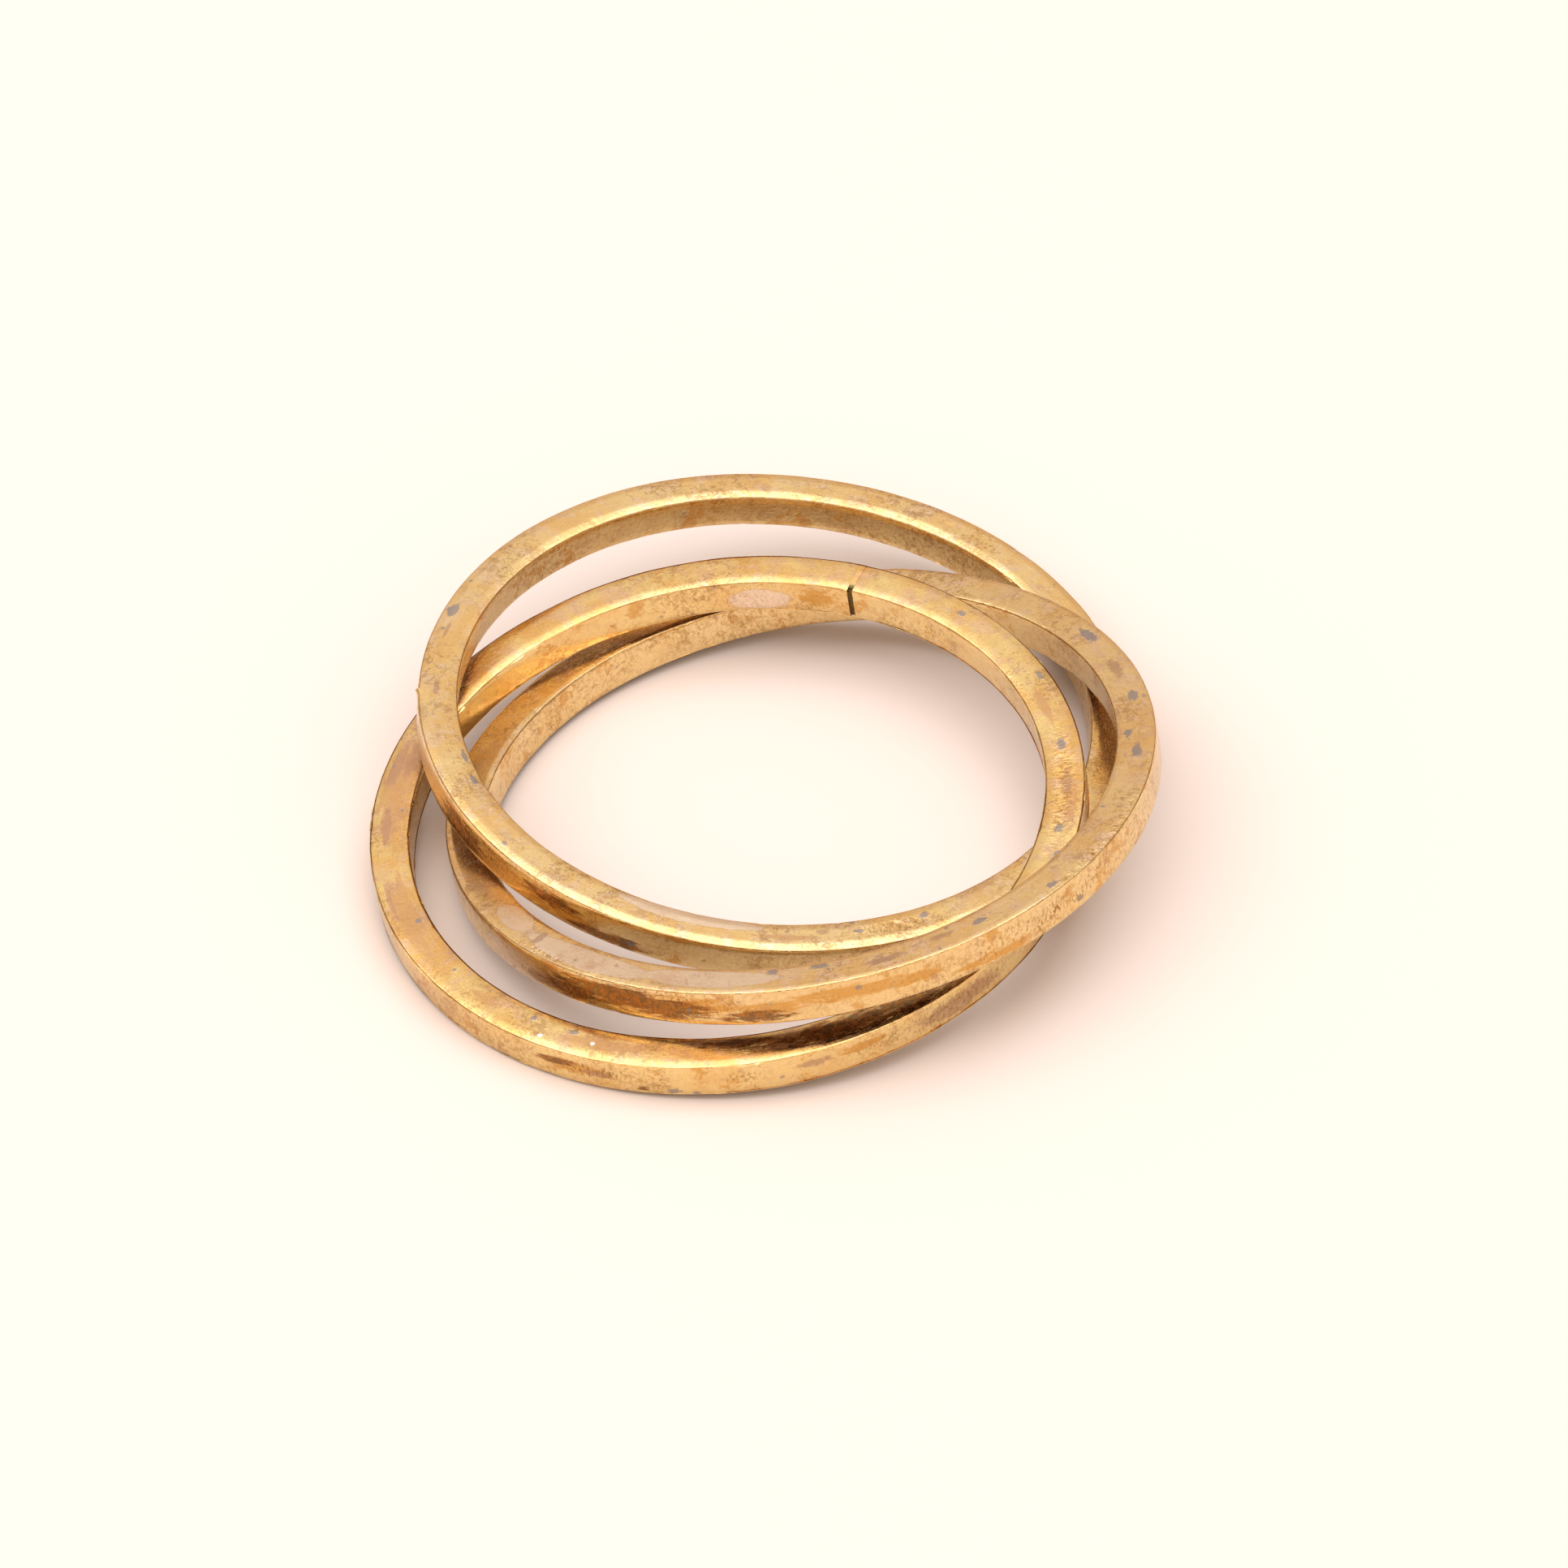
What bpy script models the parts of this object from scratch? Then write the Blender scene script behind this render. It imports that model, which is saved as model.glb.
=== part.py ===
"""A rolling puzzle ring: three equal finger bands, each one linked through both of the others.

Every band is a length of square wire, bent into a ring until its two ends meet and closed there
with hard solder. The bands are loose: they turn through one another and never come apart.

Frame: metres, +Z up. The set lies on the plane z = 0, each band leaning on the others, with the
origin under the middle of its bounding box. +Y runs from the front band towards the back band.
"""

import math

import bmesh
import bpy
from mathutils import Vector

MM = 0.001

# The wire and the ring that it is bent into
BAND_OUTER_RADIUS = 10.0 * MM
WIRE_SIZE = 1.15 * MM
CORNER_RADIUS = 0.12 * MM
CORNER_STEPS = 2
BAND_STEPS = 96

# The soldered butt joint that closes each band
SOLDER_WIDTH = 0.15 * MM
SOLDER_CLEARANCE = 0.01 * MM
SOLDER_SET_BACK = 0.02 * MM
SOLDER_STEPS = 2

# How each band lies: the middle of the band over the plane, the heading in which it climbs
# (degrees anticlockwise from +X), how steeply it climbs, and where its joint is, in degrees
# anticlockwise from its highest point.
BANDS = {
    "back_band": {"x": -0.15, "y": 0.65, "heading": 157.3, "tilt": 7.5, "joint": 19.5},
    "right_band": {"x": 0.50, "y": -2.60, "heading": 320.1, "tilt": 7.8, "joint": 210.0},
    "front_band": {"x": -1.60, "y": -3.20, "heading": 50.4, "tilt": 5.9, "joint": 13.4},
}

# Base colour, metallic value and roughness
BAND_FINISH = ((0.80, 0.53, 0.25), 1.0, 0.30)
SOLDER_FINISH = ((0.62, 0.52, 0.34), 1.0, 0.45)


def clear_scene():
    for item in list(bpy.data.objects):
        bpy.data.objects.remove(item, do_unlink=True)


def metal(name, finish):
    """A Principled material with one colour, metallic value and roughness."""
    colour, metallic, roughness = finish
    material = bpy.data.materials.new(name)
    material.use_nodes = True
    shader = material.node_tree.nodes["Principled BSDF"]
    shader.inputs["Base Color"].default_value = (*colour, 1.0)
    shader.inputs["Metallic"].default_value = metallic
    shader.inputs["Roughness"].default_value = roughness
    return material


def wire_section(set_back=0.0):
    """Points (radius, height) round the wire's rounded square, pulled in by set_back."""
    half = WIRE_SIZE / 2 - set_back
    corner = CORNER_RADIUS - set_back
    middle = BAND_OUTER_RADIUS - WIRE_SIZE / 2
    points = []
    for quarter in range(4):
        start = quarter * math.pi / 2
        side_r = math.copysign(1, math.cos(start + math.pi / 4))
        side_z = math.copysign(1, math.sin(start + math.pi / 4))
        for step in range(CORNER_STEPS + 1):
            turn = start + step / CORNER_STEPS * math.pi / 2
            radius = middle + side_r * (half - corner) + corner * math.cos(turn)
            height = side_z * (half - corner) + corner * math.sin(turn)
            points.append((radius, height))
    return points


def bent_bar(name, section, start, sweep, steps):
    """Mesh of a section turned about Z through sweep, from the angle start, closed at both ends."""
    mesh = bpy.data.meshes.new(name)
    solid = bmesh.new()
    along = Vector((math.cos(start), math.sin(start), 0.0))
    end_points = [solid.verts.new(along * radius + Vector((0.0, 0.0, height))) for radius, height in section]
    end_face = solid.faces.new(end_points)
    swept = [end_face, *end_face.edges, *end_face.verts]
    bmesh.ops.spin(
        solid, geom=swept, cent=(0, 0, 0), axis=(0, 0, 1), angle=sweep, steps=steps, use_duplicate=False
    )
    bmesh.ops.recalc_face_normals(solid, faces=solid.faces)
    solid.to_mesh(mesh)
    solid.free()
    mesh.shade_smooth()
    mesh.set_sharp_from_angle(angle=math.radians(30))
    return mesh


def add_solid(name, mesh, material, parent):
    solid = bpy.data.objects.new(name, mesh)
    solid.data.materials.append(material)
    solid.parent = parent
    bpy.context.scene.collection.objects.link(solid)
    return solid


def band_height(tilt):
    """Height of a band's middle when its lowest corner just meets the plane z = 0."""
    flat_half = WIRE_SIZE / 2 - CORNER_RADIUS
    rim = BAND_OUTER_RADIUS - CORNER_RADIUS
    return flat_half * math.cos(tilt) + rim * math.sin(tilt) + CORNER_RADIUS


def add_axis(name, lay):
    """Empty at the band's middle. Its Z is the band's axis, and its X points at the highest point."""
    tilt = math.radians(lay["tilt"])
    axis = bpy.data.objects.new(name + "_axis", None)
    axis.location = (lay["x"] * MM, lay["y"] * MM, band_height(tilt))
    axis.rotation_euler = (0.0, -tilt, math.radians(lay["heading"]))
    bpy.context.scene.collection.objects.link(axis)
    return axis


def add_band(name, lay):
    """One band: the bent wire, and the solder in the slit between its two ends."""
    axis = add_axis(name, lay)
    joint = math.radians(lay["joint"])
    slit = (SOLDER_WIDTH + 2 * SOLDER_CLEARANCE) / BAND_OUTER_RADIUS
    wire = bent_bar(name, wire_section(), joint + slit / 2, 2 * math.pi - slit, BAND_STEPS)
    add_solid(name, wire, metal(name + "_metal", BAND_FINISH), axis)

    solder_angle = SOLDER_WIDTH / BAND_OUTER_RADIUS
    section = wire_section(SOLDER_SET_BACK)
    solder = bent_bar(name + "_solder", section, joint - solder_angle / 2, solder_angle, SOLDER_STEPS)
    add_solid(name + "_solder", solder, metal(name + "_solder_metal", SOLDER_FINISH), axis)
    return axis


def centre_over_origin(axes):
    """Slide the whole set sideways until its bounding box is centred on the Z axis."""
    bpy.context.view_layer.update()
    solids = [item for axis in axes for item in axis.children]
    points = [item.matrix_world @ vertex.co for item in solids for vertex in item.data.vertices]
    for side in (0, 1):
        values = [point[side] for point in points]
        middle = (min(values) + max(values)) / 2
        for axis in axes:
            axis.location[side] -= middle


clear_scene()
centre_over_origin([add_band(name, lay) for name, lay in BANDS.items()])
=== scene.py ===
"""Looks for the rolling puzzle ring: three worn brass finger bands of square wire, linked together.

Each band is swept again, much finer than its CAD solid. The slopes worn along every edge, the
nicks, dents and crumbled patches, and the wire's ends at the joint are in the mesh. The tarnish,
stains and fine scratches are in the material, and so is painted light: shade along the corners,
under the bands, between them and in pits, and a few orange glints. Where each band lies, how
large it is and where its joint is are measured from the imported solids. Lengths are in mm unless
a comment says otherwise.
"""

import math
import random

import bpy
import numpy as np
from mathutils import Matrix, Vector


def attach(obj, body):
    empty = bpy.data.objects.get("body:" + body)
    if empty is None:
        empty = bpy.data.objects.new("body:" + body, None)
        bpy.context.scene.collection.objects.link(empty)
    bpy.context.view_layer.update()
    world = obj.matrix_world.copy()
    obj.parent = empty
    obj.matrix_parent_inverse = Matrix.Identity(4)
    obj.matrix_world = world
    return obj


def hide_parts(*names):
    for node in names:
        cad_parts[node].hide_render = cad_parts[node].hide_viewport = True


MM = 0.001

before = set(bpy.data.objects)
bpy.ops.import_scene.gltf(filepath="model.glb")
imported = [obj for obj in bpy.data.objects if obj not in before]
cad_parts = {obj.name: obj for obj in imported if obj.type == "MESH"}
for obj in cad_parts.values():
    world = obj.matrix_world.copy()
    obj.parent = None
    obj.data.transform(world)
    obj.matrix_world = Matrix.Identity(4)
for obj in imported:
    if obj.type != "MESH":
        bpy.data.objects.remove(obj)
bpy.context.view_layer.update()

# ---------------------------------------------------------------- how finely a band is drawn

STEPS_ROUND = 1200       # cross-sections round a band
JOINT_STEPS = 6          # cross-sections through the solder
FLAT_POINTS = 2          # between the middle of a side and where its slope begins
BREAK_POINTS = 4         # over the change from flat to slope
SLOPE_POINTS = 2         # down the slope
CORNER_POINTS = 3        # round the corner
SHARP_ANGLE = 60         # degrees; steeper edges, as at the wire's ends, are shaded sharp

# Where the painted dark line along a corner lies, from the middle of the side before it to the
# corner's last point: a dark reflection painted into the colour, with some patina there too
CORNER_SHADE_AT_POINTS = [0] * (1 + FLAT_POINTS + BREAK_POINTS + SLOPE_POINTS) + [0.5, 1, 0.5]

# ---------------------------------------------------------------- the shape of each band's wire
# slope, wall_slope: width of the worn slope along the edges of the flat sides and of the walls.
# tilt: its steepness, in degrees. soft: how gently the flat runs into it. corner: corner radius.
# uneven: how much slopes and corners vary, as a share. nicks, dents: how many.
# end_drop: how far one wire end was filed below the other. burr: how far a wire end's upper outer
# corner stands out. recess: how far the solder stays below the wire on the bore side.

WIRES = {
    "back_band": {
        "seed": 3, "uneven": 0.12, "nicks": 26, "dents": 60,
        "slope": 0.28, "wall_slope": 0.18, "tilt": 11.0, "soft": 0.030, "corner": 0.080,
        "end_drop": 0.0, "burr": 0.20, "recess": 0.02,
    },
    "right_band": {
        "seed": 7, "uneven": 0.18, "nicks": 46, "dents": 90,
        "slope": 0.17, "wall_slope": 0.14, "tilt": 12.0, "soft": 0.022, "corner": 0.075,
        "end_drop": 0.0, "burr": 0.0, "recess": 0.03,
    },
    "front_band": {
        "seed": 5, "uneven": 0.16, "nicks": 40, "dents": 80,
        "slope": 0.25, "wall_slope": 0.16, "tilt": 10.5, "soft": 0.055, "corner": 0.080,
        "end_drop": 0.022, "burr": 0.0, "recess": 0.13,
    },
}

SKIN = 0.008             # the fine mesh stays this far inside the CAD solid
OUT_OF_ROUND = 0.018     # how far a band strays inwards from a true circle
JOINT_GAP = 0.001        # between the wire's ends and the solder
BURR_LENGTH = 0.34       # how far along the wire the burr reaches
BURR_START = 0.1         # how far below the wall's middle the burr begins
DROP_LENGTH = 1.6        # how far along the wire the filed end reaches

WAVE_ROOM = 1.6          # keeps most of the summed waves between -1 and 1

# What is added to a wire's seed for each kind of chance
CORNER_SEED = 500
DAMAGE_SEED = 40
LEAN_SEED = 100

# Cycles round a band, and how fast their size falls with their number
LEAN_CYCLES = ((2, 3, 5, 8), 0.8)
SLOPE_CYCLES = ((2, 5, 9, 16, 31), 0.5)
CORNER_CYCLES = ((7, 19, 45, 88), 0.3)

# ---------------------------------------------------------------- wear in the mesh

WAVINESS = 0.0050        # height of the slow unevenness of the faces
WAVES = ((1.3, 1.0), (0.42, 0.35))      # size of the waves, and their share of that height
CRUMBLE = 0.016          # depth of the crumbled patches
CRUMBS = ((0.21, 1.0), (0.11, 0.7))     # size of the crumbs, and their share of the pattern
CRUMB_LEVEL = (0.45, 0.55, 1.2)         # depth where the pattern is 0, its sway, and the most
DENT_LENGTH = (0.08, 0.24)
DENT_SHAPE = (0.5, 1.0)  # width as a share of the length
DENT_DEPTH = (0.003, 0.009)
NICK_LENGTH = (0.08, 0.30)
NICK_WIDTH = (0.08, 0.16)
NICK_DEPTH = (0.006, 0.016)

# ---------------------------------------------------------------- marks that tell the bands apart
# For each kind of mark and side of the wire: degrees from the band's highest point, place across
# the side, half length, half width. Across runs outwards on the top and upwards on the walls.

# The dark marks are partly dark stains and partly painted shade where the bands lie close.
MARKS = {
    "back_band": {
        ("grey", "top"): [
            (0, 0.26, 0.40, 0.22), (38, -0.38, 0.45, 0.12), (44, -0.30, 0.30, 0.12),
            (60, 0.28, 0.16, 0.10), (124, -0.05, 0.25, 0.12), (136, -0.15, 0.28, 0.16),
        ],
        ("brown", "top"): [
            (5, 0.15, 0.60, 0.10), (20, 0.05, 0.40, 0.12), (118, -0.15, 0.35, 0.18),
        ],
        ("rust", "top"): [(112, 0.05, 1.10, 0.20)],
        ("pale", "top"): [(95, -0.30, 2.60, 0.30)],
        ("rough", "top"): [(130, 0.00, 1.60, 0.40)],
        ("grey", "outer"): [(87, -0.20, 0.22, 0.14)],
        # The rust at 62 degrees is partly painted: it also stands for orange glints reflected
        # between the bands.
        ("rust", "outer"): [(62, -0.10, 3.00, 0.55), (76, -0.15, 1.20, 0.40)],
        ("dark_stain_and_shade", "outer"): [
            (50, -0.10, 1.60, 0.50), (72, 0.10, 1.60, 0.30), (84, -0.28, 1.80, 0.24),
        ],
        ("rough", "outer"): [(56, 0.00, 2.20, 0.40)],
    },
    "right_band": {
        ("grey", "top"): [
            (31, 0.05, 0.45, 0.22), (36, -0.22, 0.30, 0.18), (47, 0.10, 0.40, 0.22),
            (68, 0.10, 0.60, 0.20), (250, -0.20, 0.12, 0.09), (303, -0.30, 0.30, 0.14),
            (311, -0.30, 0.50, 0.16), (339, 0.00, 0.35, 0.16), (353, 0.30, 0.30, 0.14),
        ],
        ("brown", "top"): [
            (56, 0.00, 0.80, 0.25), (258, 0.00, 0.20, 0.45), (275, -0.10, 0.14, 0.10),
            (322, 0.05, 0.90, 0.20), (332, -0.10, 0.60, 0.18),
        ],
        ("pale", "top"): [
            (250, -0.10, 0.95, 0.46), (269, 0.02, 2.70, 0.46), (292, -0.05, 2.40, 0.43),
        ],
        ("dark_stain_and_shade", "top"): [(358, -0.28, 0.18, 0.05)],
        ("rough", "top"): [(5, 0.42, 3.40, 0.18), (262, 0.40, 1.60, 0.16)],
        ("grey", "outer"): [(357, -0.22, 0.22, 0.16)],
        ("brown", "outer"): [(262, -0.20, 1.20, 0.30)],
        ("rust", "outer"): [
            (292, 0.10, 1.60, 0.40), (303, 0.00, 1.40, 0.36), (315, 0.15, 2.60, 0.34),
            (326, 0.00, 1.20, 0.30), (340, -0.30, 2.00, 0.24),
        ],
        ("pale", "outer"): [(254, -0.10, 1.60, 0.50)],
        # right_band's dark marks on the outer wall are partly painted shade and dark reflections.
        ("dark_stain_and_shade", "outer"): [
            (268, -0.10, 1.60, 0.42), (276, 0.15, 2.60, 0.45), (284, -0.05, 2.20, 0.44),
            (300, -0.25, 1.40, 0.26),
        ],
        ("rough", "outer"): [(290, 0.05, 3.20, 0.50), (352, 0.00, 3.20, 0.55)],
    },
    "front_band": {
        ("grey", "top"): [
            (149, -0.20, 0.17, 0.12), (163, -0.15, 0.13, 0.11), (182, -0.20, 0.15, 0.11),
            (190, -0.20, 0.22, 0.12), (288, 0.20, 0.20, 0.14), (294, 0.00, 0.25, 0.18),
            (314, 0.00, 0.35, 0.16), (331, 0.25, 0.24, 0.12), (352, 0.10, 0.22, 0.16),
        ],
        ("brown", "top"): [
            (98, 0.10, 1.60, 0.40), (108, -0.15, 1.40, 0.30), (110, 0.22, 1.40, 0.26),
            (125, 0.10, 1.20, 0.20), (142, 0.27, 1.50, 0.10), (216, -0.30, 1.60, 0.22),
            (305, 0.05, 0.90, 0.22),
        ],
        ("rust", "top"): [
            (116, -0.05, 3.60, 0.75), (146, 0.00, 2.80, 0.58), (172, 0.00, 1.00, 0.18),
            (196, 0.00, 2.20, 0.34), (300, 0.20, 1.60, 0.26), (324, -0.10, 1.20, 0.24),
        ],
        # front_band's dark marks on the top are mostly painted shade, in the gap under right_band.
        ("dark_stain_and_shade", "top"): [
            (218, -0.26, 1.60, 0.20), (236, 0.00, 2.80, 0.55), (250, 0.00, 2.20, 0.60),
        ],
        ("white", "top"): [(185, 0.25, 0.12, 0.09), (194, 0.02, 0.12, 0.09)],
        ("rough", "top"): [(304, 0.00, 3.20, 0.45)],
        ("grey", "outer"): [(208, -0.35, 0.30, 0.13)],
        ("brown", "outer"): [
            (196, -0.02, 0.70, 0.22), (230, 0.12, 0.70, 0.22), (256, -0.05, 2.20, 0.50),
        ],
        ("rust", "outer"): [(192, 0.05, 1.50, 0.32), (238, 0.17, 1.00, 0.28)],
        ("dark_stain_and_shade", "outer"): [(189, 0.12, 0.80, 0.22), (203, -0.32, 0.24, 0.11)],
        ("rough", "outer"): [
            (194, 0.05, 1.60, 0.34), (219, 0.00, 0.80, 0.40), (255, 0.00, 3.00, 0.60),
        ],
        ("rust", "inner"): [(20, 0.00, 0.90, 0.50)],
        ("pale", "inner"): [(31, -0.10, 1.20, 0.45)],
    },
}
KINDS = ("grey", "brown", "rust", "pale", "dark_stain_and_shade", "white", "rough")
QUARTER_TURNS = {"top": 0, "outer": 1, "inner": 3}      # clockwise round the section


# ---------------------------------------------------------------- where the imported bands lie


class Band:
    """Where a packed band lies and how large it is, measured from its own and its solder's node."""

    def __init__(self, name):
        points = self.node_points(name)
        middle = points.mean(axis=0)
        self.axis = np.linalg.svd(points - middle, full_matrices=False)[2][2]
        self.axis *= math.copysign(1.0, self.axis[2])
        self.high = np.array([0.0, 0.0, 1.0]) - self.axis * self.axis[2]
        self.high /= np.linalg.norm(self.high)
        self.left = np.cross(self.axis, self.high)
        self.centre = self.fitted_centre(points, middle)
        angle, radius, height = self.ring_places(points)
        self.half = height.max()
        self.radius = radius.max() - self.half
        solder_angle = self.ring_places(self.node_points(name + "_solder"))[0]
        self.joint = math.atan2(np.sin(solder_angle).mean(), np.cos(solder_angle).mean())
        self.slit = np.abs(turned(angle, self.joint)).min()

    @staticmethod
    def node_points(node):
        return np.array([vertex.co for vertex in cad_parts[node].data.vertices], float) / MM

    def fitted_centre(self, points, middle):
        """Centre of the circle that fits the points best, seen along the axis."""
        away = points - middle
        flat = np.stack([away @ self.high, away @ self.left], axis=1)
        terms = np.column_stack([2 * flat, np.ones(len(flat))])
        circle = np.linalg.lstsq(terms, (flat**2).sum(axis=1), rcond=None)[0]
        return middle + circle[0] * self.high + circle[1] * self.left

    def ring_places(self, points):
        """Angle from the highest point, radius, and height over the band's middle plane."""
        away = points - self.centre
        x = away @ self.high
        y = away @ self.left
        return np.arctan2(y, x), np.hypot(x, y), away @ self.axis

    def place(self, angle, across, up):
        """Points in the row frame for an angle round the band and a place in the section."""
        outwards = np.cos(angle)[..., None] * self.high + np.sin(angle)[..., None] * self.left
        reach = (self.radius + across)[..., None]
        return self.centre + outwards * reach + self.axis * up[..., None]


def turned(angle, start):
    """The angle from start, between minus and plus half a turn."""
    return (angle - start + math.pi) % (2 * math.pi) - math.pi


# ---------------------------------------------------------------- unevenness


def waves(angle, seed, cycles, falloff):
    """A smooth closed curve round the band, mostly between -1 and 1."""
    chance = random.Random(seed)
    total = 0
    power = 0
    for count in cycles:
        size = count**-falloff
        total = total + size * np.sin(count * angle + chance.uniform(0, 2 * math.pi))
        power += size**2
    return total / math.sqrt(power * WAVE_ROOM)


def lattice_noise(points, size, seed):
    """Smooth noise between -1 and 1 in space, with features of about the given size."""
    place = points / size
    cell = np.floor(place).astype(np.int64)
    part = place - cell
    part = part * part * (3 - 2 * part)
    total = np.zeros(points.shape[:-1])
    for corner in range(8):
        step = np.array([corner & 1, corner >> 1 & 1, corner >> 2 & 1])
        weight = np.prod(np.where(step, part, 1 - part), axis=-1)
        total += weight * cell_value(cell + step, seed)
    return total


def cell_value(key, seed):
    """A value between -1 and 1 for each cell, mixed from its three whole numbers and the seed."""
    mixed = key[..., 0] * 73856093 ^ key[..., 1] * 19349663 ^ key[..., 2] * 83492791
    mixed = mixed ^ seed * 2654435761
    mixed = (mixed ^ mixed >> 13) * 1274126177 & 0xFFFFFFFF
    mixed = (mixed ^ mixed >> 16) & 0xFFFF
    return mixed / 32767.5 - 1


def bump_field(along, around, length, width, full):
    """1 where along and around are 0, falling to 0 at an ellipse. full: the section's girth."""
    around = (around + full / 2) % full - full / 2
    return np.clip(1 - (along / length) ** 2 - (around / width) ** 2, 0, 1) ** 1.5


# ---------------------------------------------------------------- the wire's section


def side_profile(half, slope, tilt, soft, end):
    """Half of one side, from its middle to the corner: places across it, and heights."""
    start = half - slope
    slope_start = start + 2 * soft
    across = [np.zeros_like(start)]
    for step in range(1, FLAT_POINTS + 1):
        across.append((start - 2 * soft) * step / (FLAT_POINTS + 1))
    for step in range(BREAK_POINTS):
        across.append(start + soft * (4 * step / (BREAK_POINTS - 1) - 2))
    for step in range(1, SLOPE_POINTS + 1):
        across.append(slope_start + (end - slope_start) * step / SLOPE_POINTS)
    across = np.stack(across, axis=1)
    past = across - start[:, None]
    drop = math.tan(tilt) * (np.hypot(past, soft) + past) / 2
    return across, half - drop


def quarter_profile(half, wire, top_slope, wall_slope, corner):
    """A quarter of the section, from the middle of the flat side to the middle of the wall."""
    tilt = math.radians(wire["tilt"])
    top_normal = np.array([math.sin(tilt), math.cos(tilt)])
    wall_normal = top_normal[::-1]
    top_line = top_normal[0] * (half - top_slope) + top_normal[1] * half - corner
    wall_line = wall_normal[0] * half + wall_normal[1] * (half - wall_slope) - corner
    normals = np.array([top_normal, wall_normal])
    hub = np.linalg.solve(normals, np.stack([top_line, wall_line])).T
    top_end = hub[:, 0] + corner * top_normal[0]
    wall_end = hub[:, 1] + corner * wall_normal[1]
    top = side_profile(half, top_slope, tilt, wire["soft"], top_end)
    wall = side_profile(half, wall_slope, tilt, wire["soft"], wall_end)
    arc_across = []
    arc_up = []
    for step in range(1, CORNER_POINTS + 1):
        turn = tilt + (math.pi / 2 - 2 * tilt) * step / (CORNER_POINTS + 1)
        arc_across.append(hub[:, 0] + corner * math.sin(turn))
        arc_up.append(hub[:, 1] + corner * math.cos(turn))
    across = np.concatenate([top[0], np.stack(arc_across, axis=1), wall[1][:, ::-1]], axis=1)
    up = np.concatenate([top[1], np.stack(arc_up, axis=1), wall[0][:, ::-1]], axis=1)
    return across, up


def wire_sections(band, wire, angle):
    """The section at each angle, clockwise from the middle of the top: places across, heights."""
    all_across = []
    all_up = []
    for quarter in range(4):
        seed = wire["seed"] * 10 + quarter
        slow = 1 + wire["uneven"] * waves(angle, seed, *SLOPE_CYCLES)
        quick = 1 + wire["uneven"] * waves(angle, seed + CORNER_SEED, *CORNER_CYCLES)
        across, up = quarter_profile(
            band.half - SKIN, wire,
            wire["slope"] * slow, wire["wall_slope"] * slow, wire["corner"] * quick,
        )
        if quarter % 2:
            across, up = across[:, ::-1], up[:, ::-1]
        all_across.append((1 if quarter < 2 else -1) * across[:, :-1])
        all_up.append((1 if quarter in (0, 3) else -1) * up[:, :-1])
    return np.concatenate(all_across, axis=1), np.concatenate(all_up, axis=1)


def girth_of(across, up):
    """How far round the section each point is, clockwise from the top's middle, and the girth."""
    step = np.hypot(np.diff(across, axis=1), np.diff(up, axis=1))
    girth = np.concatenate([np.zeros((len(across), 1)), np.cumsum(step, axis=1)], axis=1)
    last = np.hypot(across[:, 0] - across[:, -1], up[:, 0] - up[:, -1])
    full = girth[:, -1] + last
    return girth * (full.mean() / full)[:, None], full.mean()


def section_normals(across, up):
    """Outward normals in the section's plane, as their parts across and up."""
    run_across = np.roll(across, -1, axis=1) - np.roll(across, 1, axis=1)
    run_up = np.roll(up, -1, axis=1) - np.roll(up, 1, axis=1)
    length = np.hypot(run_across, run_up)
    return -run_up / length, run_across / length


# ---------------------------------------------------------------- marks and wear


def stain_fields(name, band, angle, girth, full):
    """How strongly each kind of mark covers each point, from 0 to 1."""
    fields = {kind: np.zeros_like(girth) for kind in KINDS}
    for (kind, side), marks in MARKS[name].items():
        direction = -1 if side == "outer" else 1
        for degrees, across, length, width in marks:
            along = turned(angle, math.radians(degrees))[:, None] * band.radius
            place = QUARTER_TURNS[side] * full / 4 + direction * across
            field = bump_field(along, girth - place, length, width, full)
            fields[kind] = np.maximum(fields[kind], field)
    return fields


def small_damage(wire, full, chance):
    """Dents anywhere and nicks on the corners: place round, half length, half width, depth."""
    spots = []
    for _ in range(wire["dents"]):
        length = chance.uniform(*DENT_LENGTH)
        place = chance.uniform(0, full)
        width = length * chance.uniform(*DENT_SHAPE)
        spots.append((place, length, width, chance.uniform(*DENT_DEPTH)))
    for _ in range(wire["nicks"]):
        corner = full / 8 + chance.randrange(4) * full / 4
        length = chance.uniform(*NICK_LENGTH)
        width = chance.uniform(*NICK_WIDTH)
        spots.append((corner, length, width, chance.uniform(*NICK_DEPTH)))
    return spots


def worn_depth(band, wire, angle, girth, full, points, rough):
    """How far wear has eaten into each point. rough: how strongly it lies in a crumbled patch."""
    seed = wire["seed"]
    chance = random.Random(seed + DAMAGE_SEED)
    depth = np.zeros_like(girth)
    for size, share in WAVES:
        depth += WAVINESS * share * (1 + lattice_noise(points, size, seed))
        seed += 1
    grain = np.zeros_like(girth)
    for size, share in CRUMBS:
        grain += share * lattice_noise(points, size, seed)
        seed += 1
    middle, sway, most = CRUMB_LEVEL
    depth += CRUMBLE * rough * np.clip(middle + sway * grain, 0, most)
    for place, length, width, deep in small_damage(wire, full, chance):
        along = turned(angle, chance.uniform(0, 2 * math.pi)) * band.radius
        near = np.abs(along) < length
        around = girth[near] - place
        depth[near] += deep * bump_field(along[near, None], around, length, width, full)
    return depth


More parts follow.
